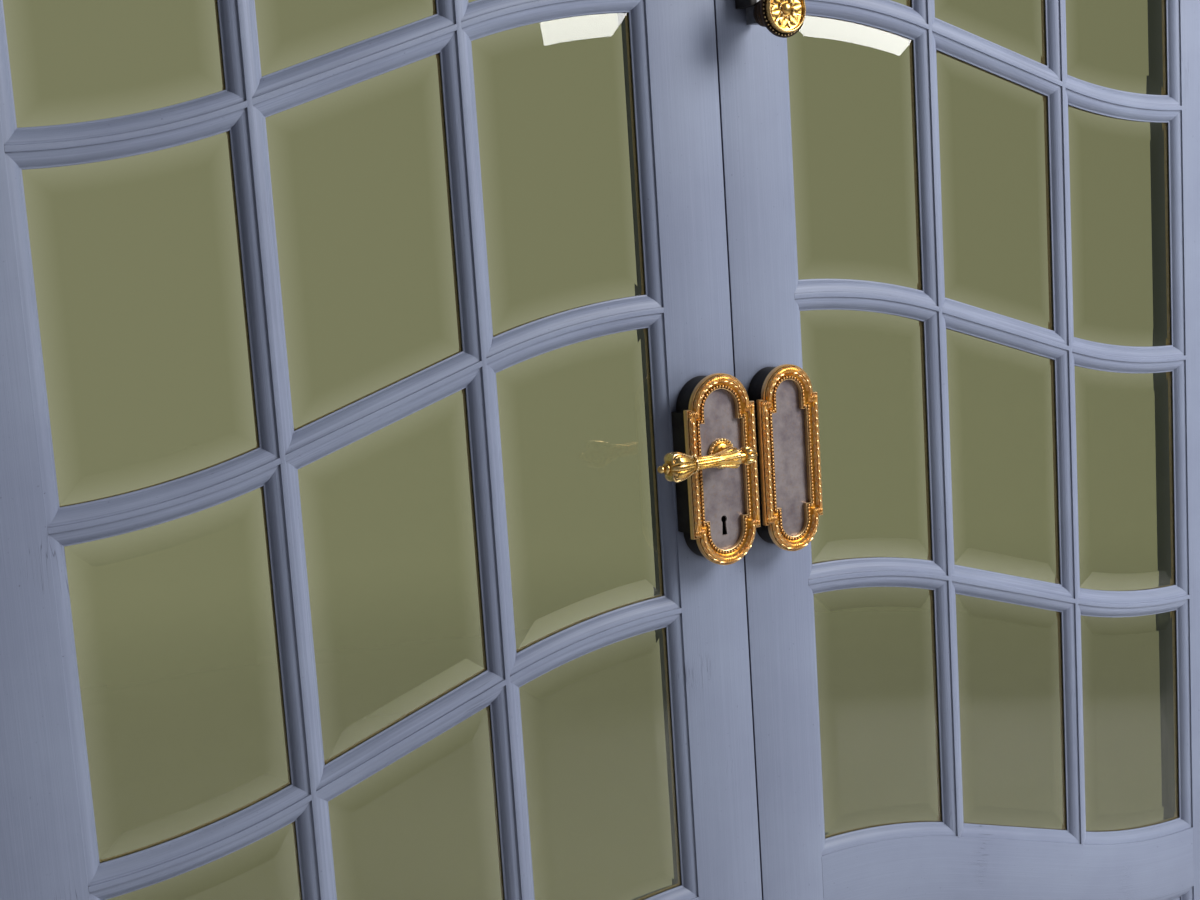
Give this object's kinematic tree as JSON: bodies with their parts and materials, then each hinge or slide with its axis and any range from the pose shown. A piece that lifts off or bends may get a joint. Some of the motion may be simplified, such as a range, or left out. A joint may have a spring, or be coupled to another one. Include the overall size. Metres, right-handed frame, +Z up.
{
  "type": "french doors",
  "caption": "Pair of glazed wooden doors in a rebated frame, with double-curved glazing bars, bevelled panes, a lever rim lock and surface bolts.",
  "frame": {"origin": "middle of the threshold's underside, on the plane halfway through the closed leaves", "axes": "+Z up; X across the doors, with the lock's leaf at -X; -Y is the side that carries the lock, and the leaves open towards it"},
  "size_m": [1.597, 0.1894, 2.205],
  "materials": {
    "painted_wood": "brushed grey-blue oil paint",
    "glass": "clear, bevelled",
    "gilt_bronze": "gilt, chased",
    "dark_bronze": "dark patina",
    "steel_plate": "grey, mottled",
    "steel": "bright, worn",
    "hinge_brass": "aged, unlacquered"
  },
  "bodies": {
    "frame": {"threshold": "painted_wood", "left_jamb": "painted_wood", "right_jamb": "painted_wood", "head": "painted_wood", "head_keeper": "dark_bronze", "foot_keeper": "dark_bronze", "left_frame_hinge_plates": "hinge_brass", "right_frame_hinge_plates": "hinge_brass", "left_hinge_pins": "hinge_brass", "right_hinge_pins": "hinge_brass"},
    "left_leaf": {"left_meeting_stile": "painted_wood", "left_hinge_stile": "painted_wood", "left_top_rail": "painted_wood", "left_middle_rail": "painted_wood", "left_bottom_rail": "painted_wood", "left_lower_panel": "painted_wood", "left_upright_bars": "painted_wood", "left_glazing_beads": "painted_wood", "left_curved_bar_1": "painted_wood", "left_curved_bar_2": "painted_wood", "left_curved_bar_3": "painted_wood", "left_curved_bar_4": "painted_wood", "left_meeting_panes": "glass", "left_middle_panes": "glass", "left_hinge_panes": "glass", "left_leaf_hinge_plates": "hinge_brass", "lock_case": "dark_bronze", "lock_frame": "gilt_bronze", "lock_plate": "steel_plate", "lever_rose": "gilt_bronze"},
    "lever": {"lever": "gilt_bronze", "lock_spindle": "steel"},
    "latch_bolt": {"latch_bolt": "steel"},
    "dead_bolt": {"dead_bolt": "steel"},
    "right_leaf": {"right_meeting_stile": "painted_wood", "right_hinge_stile": "painted_wood", "right_top_rail": "painted_wood", "right_middle_rail": "painted_wood", "right_bottom_rail": "painted_wood", "right_lower_panel": "painted_wood", "right_upright_bars": "painted_wood", "right_glazing_beads": "painted_wood", "right_curved_bar_1": "painted_wood", "right_curved_bar_2": "painted_wood", "right_curved_bar_3": "painted_wood", "right_curved_bar_4": "painted_wood", "right_meeting_panes": "glass", "right_middle_panes": "glass", "right_hinge_panes": "glass", "right_leaf_hinge_plates": "hinge_brass", "keeper_case": "dark_bronze", "keeper_frame": "gilt_bronze", "keeper_plate": "steel_plate", "top_bolt_case": "dark_bronze", "foot_bolt_case": "dark_bronze"},
    "top_bolt": {"top_bolt_rod": "steel", "top_bolt_knob": "gilt_bronze"},
    "foot_bolt": {"foot_bolt_rod": "steel", "foot_bolt_knob": "gilt_bronze"}
  },
  "joints": [
    {"name": "left_leaf_swing", "type": "hinge", "parent": "frame", "child": "left_leaf", "pos_m": [-0.737, -0.0295, 1.0855], "axis": [0, 0, -1], "range_deg": [0, 110]},
    {"name": "right_leaf_swing", "type": "hinge", "parent": "frame", "child": "right_leaf", "pos_m": [0.737, -0.0295, 1.0855], "axis": [0, 0, 1], "range_deg": [0, 110]},
    {"name": "lever_turn", "type": "hinge", "parent": "left_leaf", "child": "lever", "pos_m": [-0.03925, -0.079, 1.065], "axis": [0, -1, 0], "range_deg": [0, 40], "stiffness_Nm_per_rad": 0.8, "springref_deg": -28.65},
    {"name": "latch_slide", "type": "slide", "parent": "left_leaf", "child": "latch_bolt", "axis": [1, 0, 0], "range_m": [-0.008, 0]},
    {"name": "dead_bolt_slide", "type": "slide", "parent": "left_leaf", "child": "dead_bolt", "axis": [1, 0, 0], "range_m": [0, 0.022]},
    {"name": "top_bolt_slide", "type": "slide", "parent": "right_leaf", "child": "top_bolt", "axis": [0, 0, 1], "range_m": [0, 0.018]},
    {"name": "foot_bolt_slide", "type": "slide", "parent": "right_leaf", "child": "foot_bolt", "axis": [0, 0, -1], "range_m": [0, 0.018]}
  ],
  "couplings": [
    {"joint": "latch_slide", "follows": "lever_turn", "m_per_rad": -0.011459}
  ]
}
